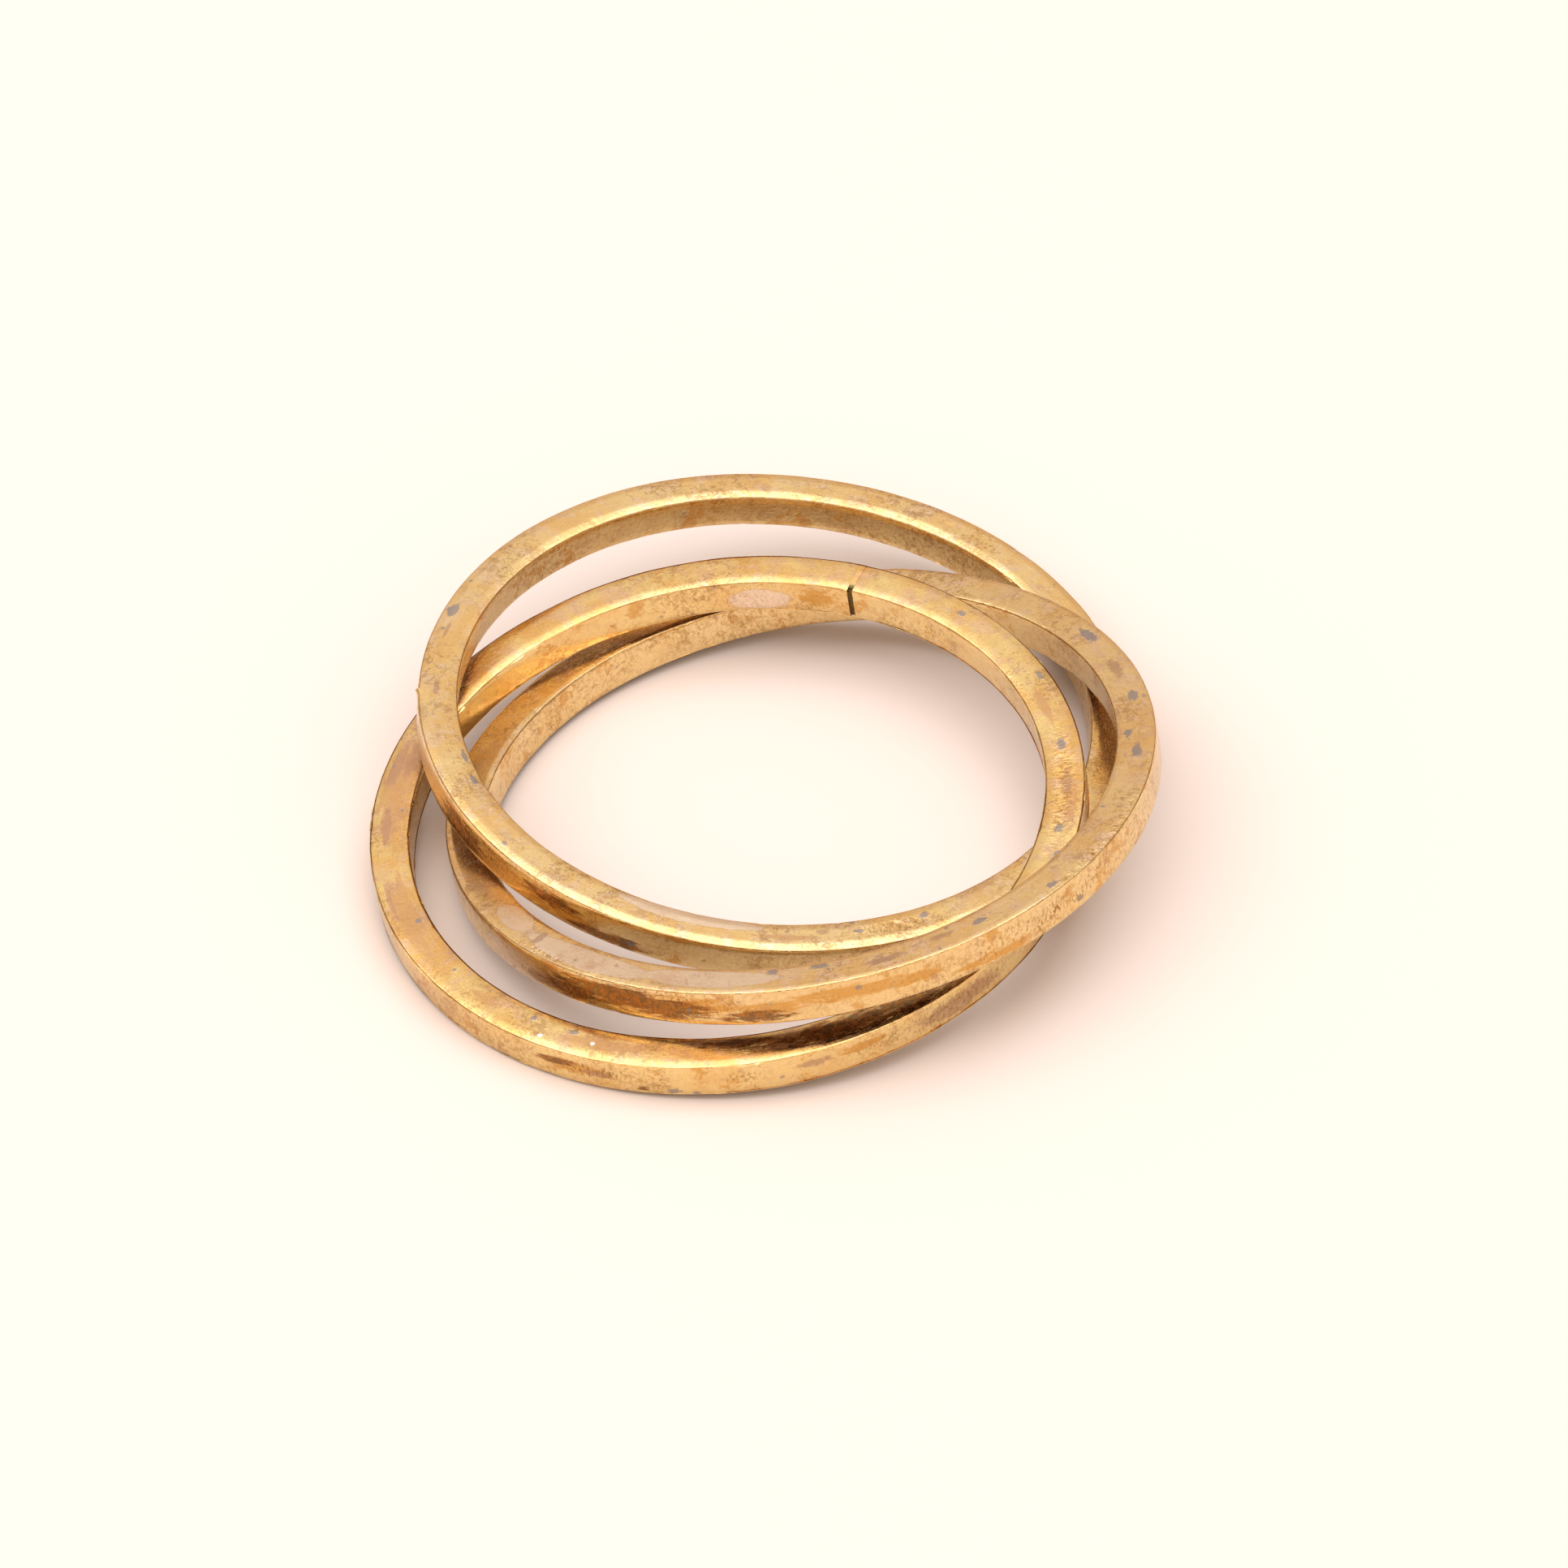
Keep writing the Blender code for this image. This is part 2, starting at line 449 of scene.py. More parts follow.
def fit_joint(band, wire, angle, across, up):
    """Shapes the wire on both sides of its joint: one end filed lower, the other with a burr.

    The powers let each change die away along the wire and keep it to the upper and outer rim.
    """
    from_joint = turned(angle, band.joint)[:, None] * band.radius
    if wire["end_drop"]:
        near = np.where(from_joint > 0, 0.0, np.clip(1 + from_joint / DROP_LENGTH, 0, 1) ** 2)
        filed = wire["end_drop"] * near
        up = up - filed * np.clip(up / band.half, 0, 1) ** 4
        across = across + filed * np.clip(-across / band.half, 0, 1) ** 4
    if wire["burr"]:
        near = np.where(from_joint > 0, np.clip(1 - from_joint / BURR_LENGTH, 0, 1) ** 1.6, 0.0)
        upper = np.clip((up + BURR_START) / (band.half + BURR_START), 0, 1) ** 2
        across = across + wire["burr"] * near * upper * np.clip(across / band.half, 0, 1) ** 6
    return across, up


# ---------------------------------------------------------------- meshes


def tube_faces(rows, columns):
    """Faces over rows of section points, then the fans that close both ends."""
    index = np.arange(rows * columns).reshape(rows, columns)
    beside = np.roll(index, -1, axis=1)
    quads = np.stack([index[:-1], index[1:], beside[1:], beside[:-1]], axis=-1)
    faces = quads.reshape(-1, 4).tolist()
    first_hub, last_hub = rows * columns, rows * columns + 1
    faces += [[first_hub, a, b] for a, b in zip(index[0].tolist(), beside[0].tolist())]
    faces += [[last_hub, b, a] for a, b in zip(index[-1].tolist(), beside[-1].tolist())]
    return faces


def wire_corners(wire, full):
    """The wire attribute at each corner of each face of tube_faces.

    The faces that close the section carry the far end's value, so that patterns drawn along the
    wire have no squeezed face.
    """
    beside = np.roll(wire, -1, axis=1)
    beside[..., 1] += full * (beside[..., 1] < wire[..., 1])
    quads = np.stack([wire[:-1], wire[1:], beside[1:], beside[:-1]], axis=2).reshape(-1, 3)
    first_cap = np.stack([wire[0], wire[0], beside[0]], axis=1).reshape(-1, 3)
    last_cap = np.stack([wire[-1], beside[-1], wire[-1]], axis=1).reshape(-1, 3)
    return np.concatenate([quads, first_cap, last_cap])


def sweep_mesh(name, points, corners, attributes):
    """A closed mesh over rows of section points, with its attributes, as an object."""
    rows, columns = points.shape[:2]
    hubs = [points[:1].mean(axis=1), points[-1:].mean(axis=1)]
    places = np.concatenate([points.reshape(-1, 3), *hubs]) * MM
    mesh = bpy.data.meshes.new(name)
    mesh.from_pydata(places.tolist(), [], tube_faces(rows, columns))
    mesh.update()
    mesh.shade_smooth()
    mesh.set_sharp_from_angle(angle=math.radians(SHARP_ANGLE))
    for key, (kind, field, values) in attributes.items():
        flat = np.concatenate([values.reshape(rows * columns, -1), values[0, :1], values[-1, :1]])
        attribute = mesh.attributes.new(key, kind, "POINT")
        attribute.data.foreach_set(field, flat.astype(np.float32).ravel())
    attribute = mesh.attributes.new("wire", "FLOAT_VECTOR", "CORNER")
    attribute.data.foreach_set("vector", corners.astype(np.float32).ravel())
    piece = bpy.data.objects.new(name, mesh)
    bpy.context.scene.collection.objects.link(piece)
    return piece


def swept_piece(piece_name, name, band, angle, shaped):
    """The wire over a range of angles, with its wear. shaped changes the section last.

    Attributes: section holds the place across, the height and where the painted corner shade
    lies; wire the place along the wire and round it, cut along the underside; stains and others
    the kinds of marks.
    """
    wire = WIRES[name]
    across, up = wire_sections(band, wire, angle)
    girth, full = girth_of(across, up)
    spread = np.repeat(angle[:, None], across.shape[1], axis=1)
    fields = stain_fields(name, band, angle, girth, full)
    quarter = CORNER_SHADE_AT_POINTS + [0] * (across.shape[1] // 4 - len(CORNER_SHADE_AT_POINTS))
    section_place = np.stack([across, up, np.tile(quarter, (len(across), 4))], axis=-1)
    smooth = band.place(spread, across, up)
    depth = worn_depth(band, wire, angle, girth, full, smooth, fields["rough"])
    normal_across, normal_up = section_normals(across, up)
    across, up = shaped(across - depth * normal_across, up - depth * normal_up)
    wander = waves(angle, wire["seed"] + LEAN_SEED, *LEAN_CYCLES)
    lean = OUT_OF_ROUND * (wander - 1) / 2
    points = band.place(spread, across + lean[:, None], up)
    along = turned(spread, band.joint + math.pi) * band.radius
    signed_girth = np.where(girth > full / 2, girth - full, girth)
    wire_place = np.stack([along, signed_girth, np.zeros_like(girth)], axis=-1)
    stains = np.stack([fields[kind] for kind in ("grey", "brown", "rust", "pale")], axis=-1)
    others = np.stack([fields[kind] for kind in ("dark_stain_and_shade", "white", "rough")], axis=-1)
    return sweep_mesh(piece_name, points, wire_corners(wire_place, full), {
        "section": ("FLOAT_VECTOR", "vector", section_place),
        "stains": ("FLOAT_COLOR", "color", stains),
        "others": ("FLOAT_VECTOR", "vector", others),
    })


def build_wire(name, band):
    """The bent wire, from one end at the joint all the way round to the other."""
    reach = 2 * math.pi - 2 * band.slit
    angle = band.joint + band.slit + reach * np.arange(STEPS_ROUND + 1) / STEPS_ROUND

    def shaped(across, up):
        return fit_joint(band, WIRES[name], angle, across, up)

    return swept_piece(name + "_wire", name, band, angle, shaped)


def build_joint(name, band):
    """The solder between the wire's ends, filed flush except on the bore side."""
    reach = band.slit - JOINT_GAP / band.radius
    angle = band.joint + reach * (2 * np.arange(JOINT_STEPS + 1) / JOINT_STEPS - 1)
    bore_side = -(band.half - SKIN - WIRES[name]["recess"])

    def shaped(across, up):
        return np.maximum(across, bore_side), up

    return swept_piece(name + "_joint", name, band, angle, shaped)


# ---------------------------------------------------------------- what the metal is painted with

# The clean metal of each band. shift moves the patterns in space, so that no two bands share them.
LOOKS = {
    "back_band": {
        "gold": (0.86, 0.63, 0.30),
        "orange": (0.83, 0.54, 0.22),
        "pink": (0.85, 0.63, 0.42),
        "shift": 0,
    },
    "right_band": {
        "gold": (0.85, 0.62, 0.31),
        "orange": (0.80, 0.52, 0.22),
        "pink": (0.84, 0.61, 0.42),
        "shift": 40,
    },
    "front_band": {
        "gold": (0.85, 0.62, 0.27),
        "orange": (0.79, 0.47, 0.16),
        "pink": (0.80, 0.53, 0.33),
        "shift": 80,
    },
}
GREY = (0.21, 0.22, 0.27)
BROWN = (0.40, 0.23, 0.15)
UMBER = (0.42, 0.23, 0.07)
RUST = (0.60, 0.29, 0.05)
# The dark brown of the painted shade under the bands and along the corners, and of the dark marks
DARK_SHADE_AND_STAIN = (0.16, 0.075, 0.03)
PALE = (0.82, 0.66, 0.51)
TAN = (0.56, 0.31, 0.14)
STRAW = (0.80, 0.64, 0.31)
# The redder dark brown in the dark marks, partly stain and partly painted shade
RED_BROWN_SHADE_AND_STAIN = (0.40, 0.15, 0.03)
WHITE = (0.92, 0.94, 0.95)
# The dark of the pits: patina in the hollows and painted shade of the fine relief
PIT_PATINA_AND_SHADE = (0.34, 0.17, 0.04)
OLIVE = (0.15, 0.125, 0.055)

DEEP_RECESS = 0.05       # solder that lies deeper than this shows olive on the bore side

# Noise in space: features per mm, detail, roughness, distortion
SPACE_NOISE = {
    "clouds": (0.5, 3, 0.6, 0.4),
    "patches": (1.6, 5, 0.68, 0.5),
    "fine": (5.0, 4, 0.7, 0.9),
    "grain": (15.0, 3, 0.7, 0.5),
    "worn": (0.33, 2, 0.5, 0.3),
    "crowds": (0.9, 3, 0.6, 0.5),
    "blotches": (0.8, 3, 0.6, 0.6),
    "smudges": (1.9, 3, 0.6, 0.3),
}

# Noise on the wire's surface: turn in degrees, scale along and round the wire, then as above
WIRE_NOISE = {
    "drawn": (0, (0.35, 7.0, 1.0), 1.8, 3, 0.65, 0.0),
    "streaks": (8, (0.55, 2.6, 1.0), 2.4, 5, 0.75, 0.3),
    "crumbs": (0, (1.6, 0.8, 1.0), 7.5, 3, 0.65, 0.5),
    "scratches_1": (24, (0.5, 14.0, 1.0), 5.0, 1, 0.5, 0.0),
    "scratches_2": (-37, (0.5, 14.0, 1.0), 4.2, 1, 0.5, 0.0),
    "scratches_3": (68, (0.5, 14.0, 1.0), 3.6, 1, 0.5, 0.0),
}
DOTS_PER_MM = 1.3

# How a kind of mark breaks up: the pattern, how much it counts, and the levels it fades in between
COVERS = {
    "pale": ("spotty", 1.0, 0.12, 0.22),
    "rust": ("streaky", 2.2, 0.28, 0.75),
    "brown": ("spotty", 2.0, 0.25, 0.70),
    "dark_stain_and_shade": ("streaky", 3.0, 0.12, 0.58),
    "grey": ("spotty", 2.0, 0.25, 0.60),
    "white": ("spotty", 0.5, 0.30, 0.50),
}

# Levels of a value between which something fades in. Two more numbers are what it goes from and to.
FADES = {
    "wall": (0.50, 0.555),              # by the distance across from the wire's middle
    "bore": (-0.25, -0.40),             # by the place across
    # The underside fade is painted shade: each band's underside darkened where little light reaches
    # between the bands.
    "underside_shade": (-0.51, -0.55),        # by height in the section
    # These three fades place the painted dark line along the corners: a dark reflection painted in,
    # weaker low down and broken up.
    "corner_shade_low": (-0.3, 0.3, 0.25, 1.0),
    "corner_shade": (0.25, 0.9),              # by the crease that the mesh carries
    "corner_shade_breaks": (0.35, 0.6, 0.9, 0.35),
    "gold": (0.36, 0.62),
    "pink": (0.46, 0.64),
    "pink_on_wall": (0.0, 1.0, 0.8, 0.3),
    "worn": (0.40, 0.60, 0.25, 1.0),
    "specks": (0.46, 0.62),
    "specks_on_pale": (0.0, 1.0, 0.72, 0.25),
    "drawn_lines": (0.45, 0.7),
    "blotches": (0.56, 0.70),
    "blotches_on_wall": (0.0, 1.0, 0.42, 0.85),
    "smudges": (0.62, 0.76),
    "dark_reach": (0.0, 0.25),
    "shade_and_stain_browns": (0.42, 0.62),
    "chosen_dots": (0.66, 0.68),
    "dot": (0.12, 0.05),
    "pits": (0.70, 0.52),
    "scratch": (0.68, 0.76),
}

# How strongly each colour is laid over the one under it
STRENGTHS = {
    "straw": 0.45, "pale": 0.85, "pale_rim": 1.6, "rust": 0.75, "brown": 0.65, "dark_stain_and_shade": 0.90,
    "underside_shade": 0.85, "grey": 0.7, "white": 0.8,
}
SMUDGE_SHARE = 0.55      # how strong the brown smudges and the small dots are beside the marks
DOT_SHARE = 0.9

# How much each part counts where patterns are added together
SHARES = {
    "fine_in_spotty": 0.6,
    "patches_in_spotty": 0.4,
    "spotty_in_blotches": 0.9,
    "spotty_in_smudges": 0.9,
    "spotty_in_dots": 0.60,
    "field_in_dark": 0.9,
    "crowds_in_crowding": 0.30,
    "patches_in_crowding": 0.25,
    "grain_in_specks": 0.40,
    "fine_in_specks": 0.60,
    "lines_in_umber": 0.10,
    "wall_in_pits": 0.26,
    "rough_in_pits": 0.75,
    "patches_in_pits": 0.35,
    "wall_in_crumbs": 0.20,
}
NOISE_MIDDLE = 0.5       # the value that a noise lies around
CROWDING_MIDDLE = 0.275  # the same for the sum of crowds and patches in crowding
PITS_EVERYWHERE = 0.06   # share of pits and of crumbs outside the walls and rough patches
CRUMBS_EVERYWHERE = 0.16

# Roughness of the flats and walls, and what fine noise, a dull piece, each kind of tarnish and
# the painted dark line along the corners add to it
FLAT_ROUGHNESS = 0.14
WALL_ROUGHNESS = 0.06
FINE_ROUGHNESS = 0.22
DULLNESS = 0.10
TARNISH_ROUGHNESS = (
    ("grey", 0.10), ("brown", 0.12), ("rust", 0.10), ("corner_shade", 0.15), ("pale", 0.05),
)

# Heights of the relief in the material, in mm
DRAWN_HEIGHT = 0.0010
FINE_HEIGHT = 0.0040
GRAIN_HEIGHT = 0.0014
SCRATCH_HEIGHT = -0.0018
CRUMB_HEIGHT = 0.022
GREY_HEIGHT = -0.003


# ---------------------------------------------------------------- materials


class Nodes:
    """A material, with short names for making its shader nodes."""

    def __init__(self, material):
        material.use_nodes = True
        self.material = material
        self.tree = material.node_tree
        self.shader = self.tree.nodes["Principled BSDF"]

    def node(self, kind, inputs=None, **settings):
        node = self.tree.nodes.new(kind)
        for key, value in settings.items():
            setattr(node, key, value)
        for key, value in (inputs or {}).items():
            self.feed(node.inputs[key], value)
        return node

    def feed(self, socket, value):
        if isinstance(value, bpy.types.NodeSocket):
            self.tree.links.new(value, socket)
        else:
            socket.default_value = value

    def attribute(self, name):
        return self.node("ShaderNodeAttribute", attribute_name=name).outputs

    def split(self, vector):
        return self.node("ShaderNodeSeparateXYZ", {0: vector}).outputs

    def noise(self, place, scale, detail, roughness, distortion):
        inputs = {"Vector": place, "Scale": scale, "Detail": detail}
        inputs.update({"Roughness": roughness, "Distortion": distortion})
        return self.node("ShaderNodeTexNoise", inputs).outputs["Fac"]

    def math(self, operation, first, second=0.0, third=0.0):
        inputs = {0: first, 1: second, 2: third}
        return self.node("ShaderNodeMath", inputs, operation=operation).outputs[0]

    def times(self, first, second):
        return self.math("MULTIPLY", first, second)

    def times_plus(self, first, second, third):
        return self.math("MULTIPLY_ADD", first, second, third)

    def fade(self, value, low, high, to_low=0.0, to_high=1.0):
        inputs = {"Value": value, "From Min": low, "From Max": high}
        inputs.update({"To Min": to_low, "To Max": to_high})
        node = self.node("ShaderNodeMapRange", inputs, interpolation_type="SMOOTHSTEP")
        return node.outputs["Result"]

    def mix(self, share, first, second):
        node = self.node("ShaderNodeMix", data_type="RGBA")
        self.feed(node.inputs["Factor"], share)
        for key, colour in (("A", first), ("B", second)):
            linked = isinstance(colour, bpy.types.NodeSocket)
            self.feed(node.inputs[key], colour if linked else (*colour, 1))
        return node.outputs["Result"]

    def stretched(self, place, turn, scale):
        inputs = {"Vector": place, "Rotation": (0, 0, math.radians(turn)), "Scale": scale}
        return self.node("ShaderNodeMapping", inputs).outputs[0]


class WornMetal(Nodes):
    """Old brass: cloudy gold, stains, fine scratches and painted shade, as along the corners."""

    def __init__(self, name, look, bore_colour=None):
        super().__init__(bpy.data.materials.new(name))
        self.look = look
        self.read_mesh()
        self.draw_patterns()
        self.find_wear()
        self.find_marks()
        colour = self.stained_and_shaded(self.speckled(self.pale_patched(self.clean_colour())))
        colour = self.corner_shaded(self.patina_and_shade_in_pits(self.spotted(colour)))
        if bore_colour:
            colour = self.mix(self.level("bore", self.across), colour, bore_colour)
        self.feed(self.shader.inputs["Base Color"], colour)
        self.feed(self.shader.inputs["Roughness"], self.roughness(DULLNESS if bore_colour else 0.0))
        self.feed(self.shader.inputs["Normal"], self.relief())
        self.shader.inputs["Metallic"].default_value = 1.0

    def level(self, key, value):
        return self.fade(value, *FADES[key])

    def laid_over(self, kind, colour, stain):
        """The colour with a kind of mark laid over it."""
        return self.mix(self.times(self.marks[kind], STRENGTHS[kind]), colour, stain)

    def read_mesh(self):
        """Places in mm, and the fields that the mesh carries."""
        place = self.node("ShaderNodeTexCoord").outputs["Object"]
        inputs = {0: place, 1: (1 / MM,) * 3, 2: (self.look["shift"],) * 3}
        self.place = self.node("ShaderNodeVectorMath", inputs, operation="MULTIPLY_ADD").outputs[0]
        self.wire = self.attribute("wire")["Vector"]
        self.across, self.up, self.corner_shade_place = self.split(self.attribute("section")["Vector"])
        stains = self.attribute("stains")
        fields = [*self.split(stains["Color"]), stains["Alpha"]]
        fields += self.split(self.attribute("others")["Vector"])
        self.fields = dict(zip(KINDS, fields))
        self.wall = self.level("wall", self.math("ABSOLUTE", self.across))

    def draw_patterns(self):
        self.noises = {key: self.noise(self.place, *values) for key, values in SPACE_NOISE.items()}
        for key, (turn, scale, *values) in WIRE_NOISE.items():
            self.noises[key] = self.noise(self.stretched(self.wire, turn, scale), *values)
        patches = self.times(self.noises["patches"], SHARES["patches_in_spotty"])
        spotty = self.times_plus(self.noises["fine"], SHARES["fine_in_spotty"], patches)
        self.patterns = {
            "spotty": self.math("SUBTRACT", spotty, NOISE_MIDDLE),
            "streaky": self.math("SUBTRACT", self.noises["streaks"], NOISE_MIDDLE),
        }

    def cover(self, kind, field):
        """Where a mark covers the metal: thickly at its middle, in scattered bits at its rim."""
        pattern, share, low, high = COVERS[kind]
        return self.fade(self.times_plus(self.patterns[pattern], share, field), low, high)

    def find_wear(self):
        """Stains that lie all over the band: blotches, smudges and small dots."""
        noises = self.noises
        spotty = self.patterns["spotty"]
        self.worn = self.level("worn", noises["worn"])
        blotches = self.times_plus(spotty, SHARES["spotty_in_blotches"], noises["blotches"])
        on_wall = self.level("blotches_on_wall", self.wall)
        self.blotches = self.times(self.level("blotches", blotches), on_wall)
        smudges = self.times_plus(spotty, SHARES["spotty_in_smudges"], noises["smudges"])
        self.smudges = self.times(self.level("smudges", smudges), SMUDGE_SHARE)
        inputs = {"Vector": self.place, "Scale": DOTS_PER_MM, "Randomness": 1.0}
        cells = self.node("ShaderNodeTexVoronoi", inputs).outputs
        chosen = self.level("chosen_dots", self.split(cells["Color"])[0])
        dot = self.times_plus(spotty, SHARES["spotty_in_dots"], cells["Distance"])
        self.dots = self.times(self.times(self.level("dot", dot), chosen), DOT_SHARE)

    def find_marks(self):
        """How much of each kind of mark there is, with the stains that lie all over the band."""
        fields = self.fields
        dark_stain_and_shade = self.cover("dark_stain_and_shade", self.times(fields["dark_stain_and_shade"], SHARES["field_in_dark"]))
        self.marks = {
            "pale": self.cover("pale", fields["pale"]),
            "rust": self.math("MAXIMUM", self.cover("rust", fields["rust"]), self.blotches),
            "brown": self.math("MAXIMUM", self.cover("brown", fields["brown"]), self.smudges),
            "dark_stain_and_shade": self.times(dark_stain_and_shade, self.level("dark_reach", fields["dark_stain_and_shade"])),
            "grey": self.math("MAXIMUM", self.cover("grey", fields["grey"]), self.dots),
            "white": self.cover("white", fields["white"]),
            # painted shade on the underside of the wire
            "underside_shade": self.level("underside_shade", self.up),
        }
        # The painted dark line along the corners, broken up and weaker low down
        breaks = self.level("corner_shade_breaks", self.noises["fine"])
        corner_shade = self.times(self.level("corner_shade", self.corner_shade_place), breaks)
        self.marks["corner_shade"] = self.times(corner_shade, self.level("corner_shade_low", self.up))

    def clean_colour(self):
        """Gold with orange clouds, pink patches and straw-coloured walls."""
        clouds = self.level("gold", self.noises["clouds"])
        colour = self.mix(clouds, self.look["orange"], self.look["gold"])
        pink = self.level("pink", self.noises["patches"])
        pink = self.times(pink, self.level("pink_on_wall", self.wall))
        colour = self.mix(pink, colour, self.look["pink"])
        return self.mix(self.times(self.wall, STRENGTHS["straw"]), colour, STRAW)

    def pale_patched(self, colour):
        """Pale patches with a brown rim."""
        pale = self.marks["pale"]
        rim = self.times(pale, self.math("SUBTRACT", 1.0, pale))
        colour = self.laid_over("pale", colour, PALE)
        return self.mix(self.times(rim, STRENGTHS["pale_rim"]), colour, BROWN)

    def speckled(self, colour):
        """Umber specks, in crowds, fewer on pale patches, and faint lines along the wire."""
        noises = self.noises
        patches = self.times(noises["patches"], SHARES["patches_in_crowding"])
        crowding = self.times_plus(noises["crowds"], SHARES["crowds_in_crowding"], patches)
        fine = self.times(noises["fine"], SHARES["fine_in_specks"])
        specks = self.times_plus(noises["grain"], SHARES["grain_in_specks"], fine)
        specks = self.math("ADD", specks, self.math("SUBTRACT", crowding, CROWDING_MIDDLE))
        share = self.level("specks", specks)
        share = self.times(share, self.level("specks_on_pale", self.marks["pale"]))
        share = self.times(share, self.worn)
        lines = self.level("drawn_lines", noises["drawn"])
        share = self.times_plus(lines, SHARES["lines_in_umber"], share)
        return self.mix(share, colour, UMBER)

    def stained_and_shaded(self, colour):
        """Rust and brown stains, dark patches of stain and painted shade, painted shade underneath.
        """
        colour = self.laid_over("rust", colour, self.mix(self.wall, TAN, RUST))
        colour = self.laid_over("brown", colour, BROWN)
        # Dark marks: partly dark stains, partly painted shade between the bands
        shade_and_stain_browns = self.mix(self.level("shade_and_stain_browns", self.noises["fine"]), DARK_SHADE_AND_STAIN, RED_BROWN_SHADE_AND_STAIN)
        colour = self.laid_over("dark_stain_and_shade", colour, shade_and_stain_browns)
        # painted shade: the underside darkened
        return self.laid_over("underside_shade", colour, DARK_SHADE_AND_STAIN)

    def spotted(self, colour):
        """Blue-grey and white spots."""
        return self.laid_over("white", self.laid_over("grey", colour, GREY), WHITE)

    def patina_and_shade_in_pits(self, colour):
        """Dark pits, most of all in rough patches and on the walls: patina and painted relief
        shade.
        """
        share = self.times_plus(self.wall, SHARES["wall_in_pits"], PITS_EVERYWHERE)
        share = self.times(share, self.worn)
        share = self.times_plus(self.fields["rough"], SHARES["rough_in_pits"], share)
        patches = self.noises["patches"]
        pits = self.times_plus(patches, SHARES["patches_in_pits"], self.noises["crumbs"])
        return self.mix(self.times(self.level("pits", pits), share), colour, PIT_PATINA_AND_SHADE)

    def corner_shaded(self, colour):
        """The painted dark line along the corners: a painted dark reflection, with some patina."""
        return self.mix(self.marks["corner_shade"], colour, DARK_SHADE_AND_STAIN)

    def roughness(self, dullness):
        flat = FLAT_ROUGHNESS + dullness
        base = self.fade(self.wall, 0.0, 1.0, flat, WALL_ROUGHNESS + dullness)
        rough = self.times_plus(self.noises["fine"], FINE_ROUGHNESS, base)
        for kind, amount in TARNISH_ROUGHNESS:
            rough = self.times_plus(self.marks[kind], amount, rough)
        return rough

    def relief(self):
        """Drawing lines, grain, fine scratches, crumbs, and grey spots eaten in a little."""
        noises = self.noises
        height = self.times(noises["drawn"], DRAWN_HEIGHT)
        height = self.times_plus(noises["fine"], FINE_HEIGHT, height)
        height = self.times_plus(noises["grain"], GRAIN_HEIGHT, height)
        for key in ("scratches_1", "scratches_2", "scratches_3"):
            height = self.times_plus(self.level("scratch", noises[key]), SCRATCH_HEIGHT, height)
        crumbly = self.math("ADD", self.fields["rough"], CRUMBS_EVERYWHERE)
        crumbly = self.times_plus(self.wall, SHARES["wall_in_crumbs"], crumbly)
        height = self.times_plus(self.times(noises["crumbs"], crumbly), CRUMB_HEIGHT, height)
        height = self.times_plus(self.marks["grey"], GREY_HEIGHT, height)
        inputs = {"Height": height, "Distance": MM, "Strength": 1.0}
        return self.node("ShaderNodeBump", inputs).outputs[0]


# ---------------------------------------------------------------- stage, light and camera

FLOOR_SIZE = 4           # metres, as are the softbox's sizes and place
FLOOR_COLOUR = (0.755, 0.665, 0.61, 1)
FLOOR_ROUGHNESS = 0.9
FLOOR_SPECULAR = 0.1

# The room's colour by height: 0 at the horizon and below it, 1 overhead
ROOM_LEVELS = (
    (0.0, (0.62, 0.43, 0.28)),
    (0.20, (0.70, 0.51, 0.36)),
    (0.38, (0.82, 0.66, 0.53)),
    (0.60, (0.94, 0.82, 0.71)),
    (0.85, (0.98, 0.92, 0.85)),
)
# The room is brighter in front (-Y): where that fades out, and the strengths there
FRONT_LEVELS = (-0.65, 0.0, 1.75, 1.0)

SOFTBOX_SIZE = (0.98, 0.50)
SOFTBOX_PLACE = (-0.18, 0.01, 0.45)
SOFTBOX_POWER = 2.23
SOFTBOX_COLOUR = (0.98, 0.98, 1.08)

# The photo's framing: lengths in mm, angles in degrees
SENSOR_WIDTH = 36
LENS = 203.8
ELEVATION = 39.9
ROLL = -4.37
AIM = (0.56, 1.27, 0)
DISTANCE = 249.2
CLIP_START = 10


def build_stage():
    bpy.ops.mesh.primitive_plane_add(size=FLOOR_SIZE)
    floor = bpy.context.object
    floor.name = "floor"
    material = bpy.data.materials.new("floor_paper")
    material.use_nodes = True
    shader = material.node_tree.nodes["Principled BSDF"]
    shader.inputs["Base Color"].default_value = FLOOR_COLOUR
    shader.inputs["Roughness"].default_value = FLOOR_ROUGHNESS
    shader.inputs["Specular IOR Level"].default_value = FLOOR_SPECULAR
    floor.data.materials.append(material)


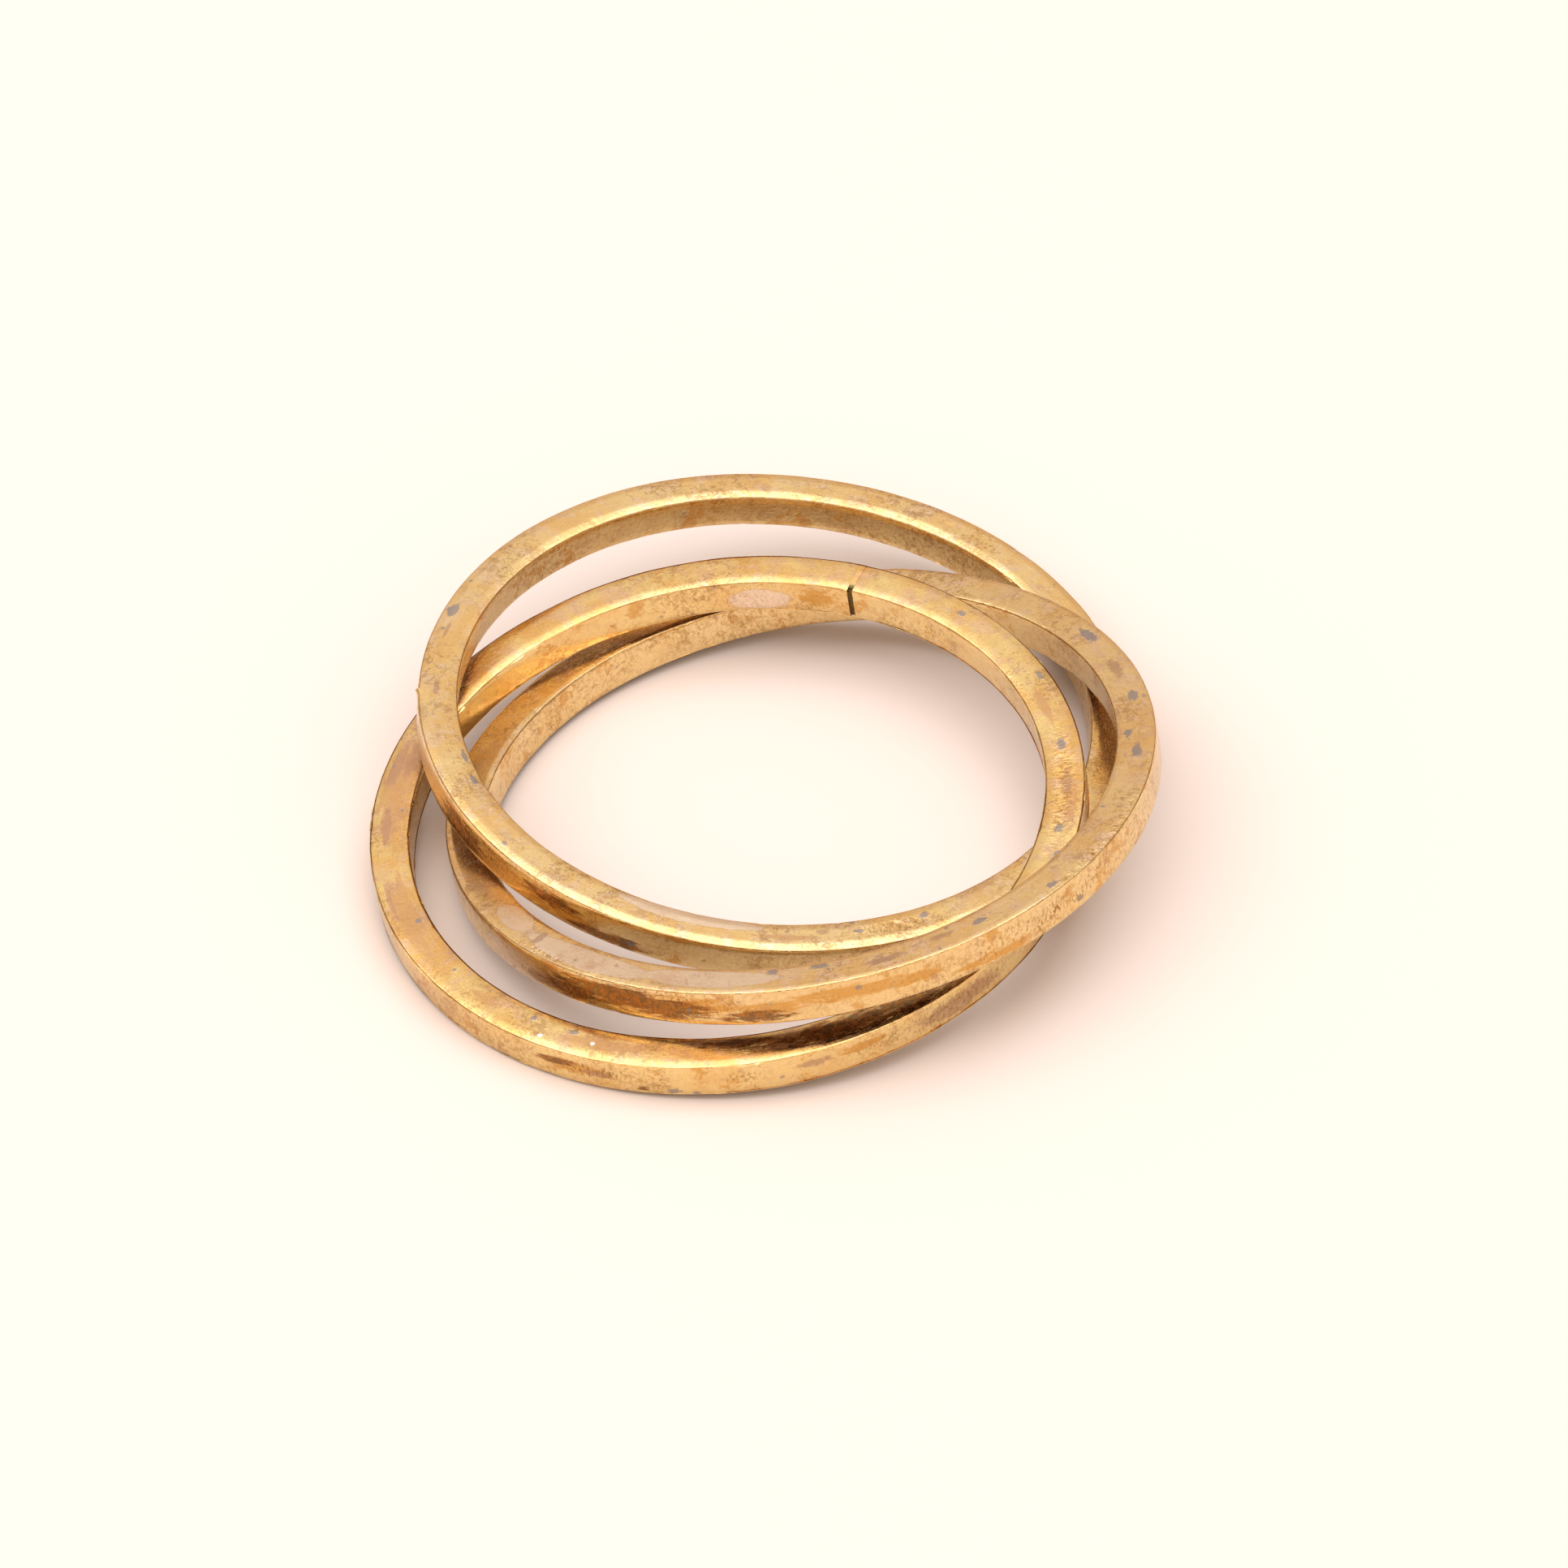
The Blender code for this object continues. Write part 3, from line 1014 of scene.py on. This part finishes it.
def build_room():
    """The room that the metal mirrors: brown low down, cream above, brighter in front."""
    world = bpy.data.worlds.new("studio")
    bpy.context.scene.world = world
    world.use_nodes = True
    tree = world.node_tree
    place = tree.nodes.new("ShaderNodeTexCoord")
    split = tree.nodes.new("ShaderNodeSeparateXYZ")
    colour = tree.nodes.new("ShaderNodeValToRGB")
    elements = colour.color_ramp.elements
    elements[0].position = ROOM_LEVELS[0][0]
    elements[1].position = ROOM_LEVELS[-1][0]
    for position, _ in ROOM_LEVELS[1:-1]:
        elements.new(position)
    for element, (_, level_colour) in zip(elements, ROOM_LEVELS):
        element.color = (*level_colour, 1)
    strength = tree.nodes.new("ShaderNodeMapRange")
    strength.interpolation_type = "SMOOTHSTEP"
    for key, value in zip(("From Min", "From Max", "To Min", "To Max"), FRONT_LEVELS):
        strength.inputs[key].default_value = value
    background = tree.nodes["Background"]
    tree.links.new(place.outputs["Generated"], split.inputs[0])
    tree.links.new(split.outputs["Z"], colour.inputs[0])
    tree.links.new(split.outputs["Y"], strength.inputs["Value"])
    tree.links.new(colour.outputs[0], background.inputs["Color"])
    tree.links.new(strength.outputs["Result"], background.inputs["Strength"])


def build_softbox():
    light = bpy.data.lights.new("overhead_softbox", "AREA")
    light.shape = "RECTANGLE"
    light.size, light.size_y = SOFTBOX_SIZE
    light.energy = SOFTBOX_POWER
    light.color = SOFTBOX_COLOUR
    softbox = bpy.data.objects.new("overhead_softbox", light)
    softbox.location = SOFTBOX_PLACE
    bpy.context.scene.collection.objects.link(softbox)


def build_camera():
    camera = bpy.data.cameras.new("camera")
    camera.sensor_width = SENSOR_WIDTH
    camera.lens = LENS
    camera.clip_start = CLIP_START * MM
    elevation = math.radians(ELEVATION)
    roll = math.radians(ROLL)
    back = Vector((0, -math.cos(elevation), math.sin(elevation)))
    level = Vector((1, 0, 0))
    upright = back.cross(level)
    right = math.cos(roll) * level + math.sin(roll) * upright
    up = math.cos(roll) * upright - math.sin(roll) * level
    view = bpy.data.objects.new("camera", camera)
    view.rotation_mode = "QUATERNION"
    view.rotation_quaternion = Matrix((right, up, back)).transposed().to_quaternion()
    view.location = Vector(AIM) * MM + back * DISTANCE * MM
    bpy.context.scene.collection.objects.link(view)
    bpy.context.scene.camera = view
    bpy.context.scene.view_settings.view_transform = "Standard"


# ---------------------------------------------------------------- the pieces


def add_piece(piece, body, node, material):
    piece.data.materials.append(material)
    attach(piece, body)
    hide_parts(node)


def add_band(name):
    """The wire and the solder of one band, each in its own metal."""
    band = Band(name)
    metal = WornMetal(name + "_metal", LOOKS[name]).material
    add_piece(build_wire(name, band), name, name, metal)
    bore_colour = OLIVE if WIRES[name]["recess"] > DEEP_RECESS else None
    solder = WornMetal(name + "_solder_metal", LOOKS[name], bore_colour).material
    add_piece(build_joint(name, band), name, name + "_solder", solder)


build_stage()
build_room()
build_softbox()
build_camera()
for name in WIRES:
    add_band(name)
